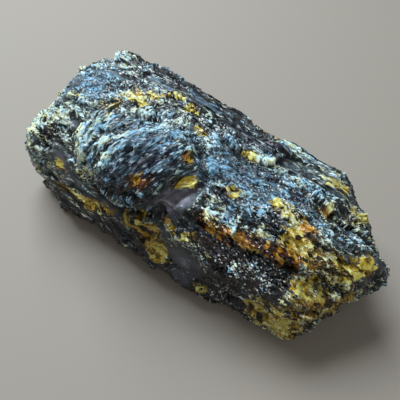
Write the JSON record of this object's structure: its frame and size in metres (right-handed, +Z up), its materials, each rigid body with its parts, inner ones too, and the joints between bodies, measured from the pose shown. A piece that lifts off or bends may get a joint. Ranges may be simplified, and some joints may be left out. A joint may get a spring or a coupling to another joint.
{
  "type": "raw amber piece",
  "caption": "Rough, unpolished lump of dark amber, longer than wide, with a rounded knob, ledges and splintery chips; lies on its flattest side.",
  "frame": {"origin": "on the ground, under the middle of the lump's bounding box", "axes": "+X along the lump towards its low, pointed end; +Y towards its long back slope; +Z up from the face it rests on"},
  "size_m": [0.1399, 0.0675, 0.0508],
  "materials": {
    "dark_amber": "dark, wet-looking amber; near black with blue sheen where thick, see-through gold where thin, pale crust flecks"
  },
  "bodies": {
    "root": {"raw_amber": "dark_amber"}
  },
  "joints": []
}
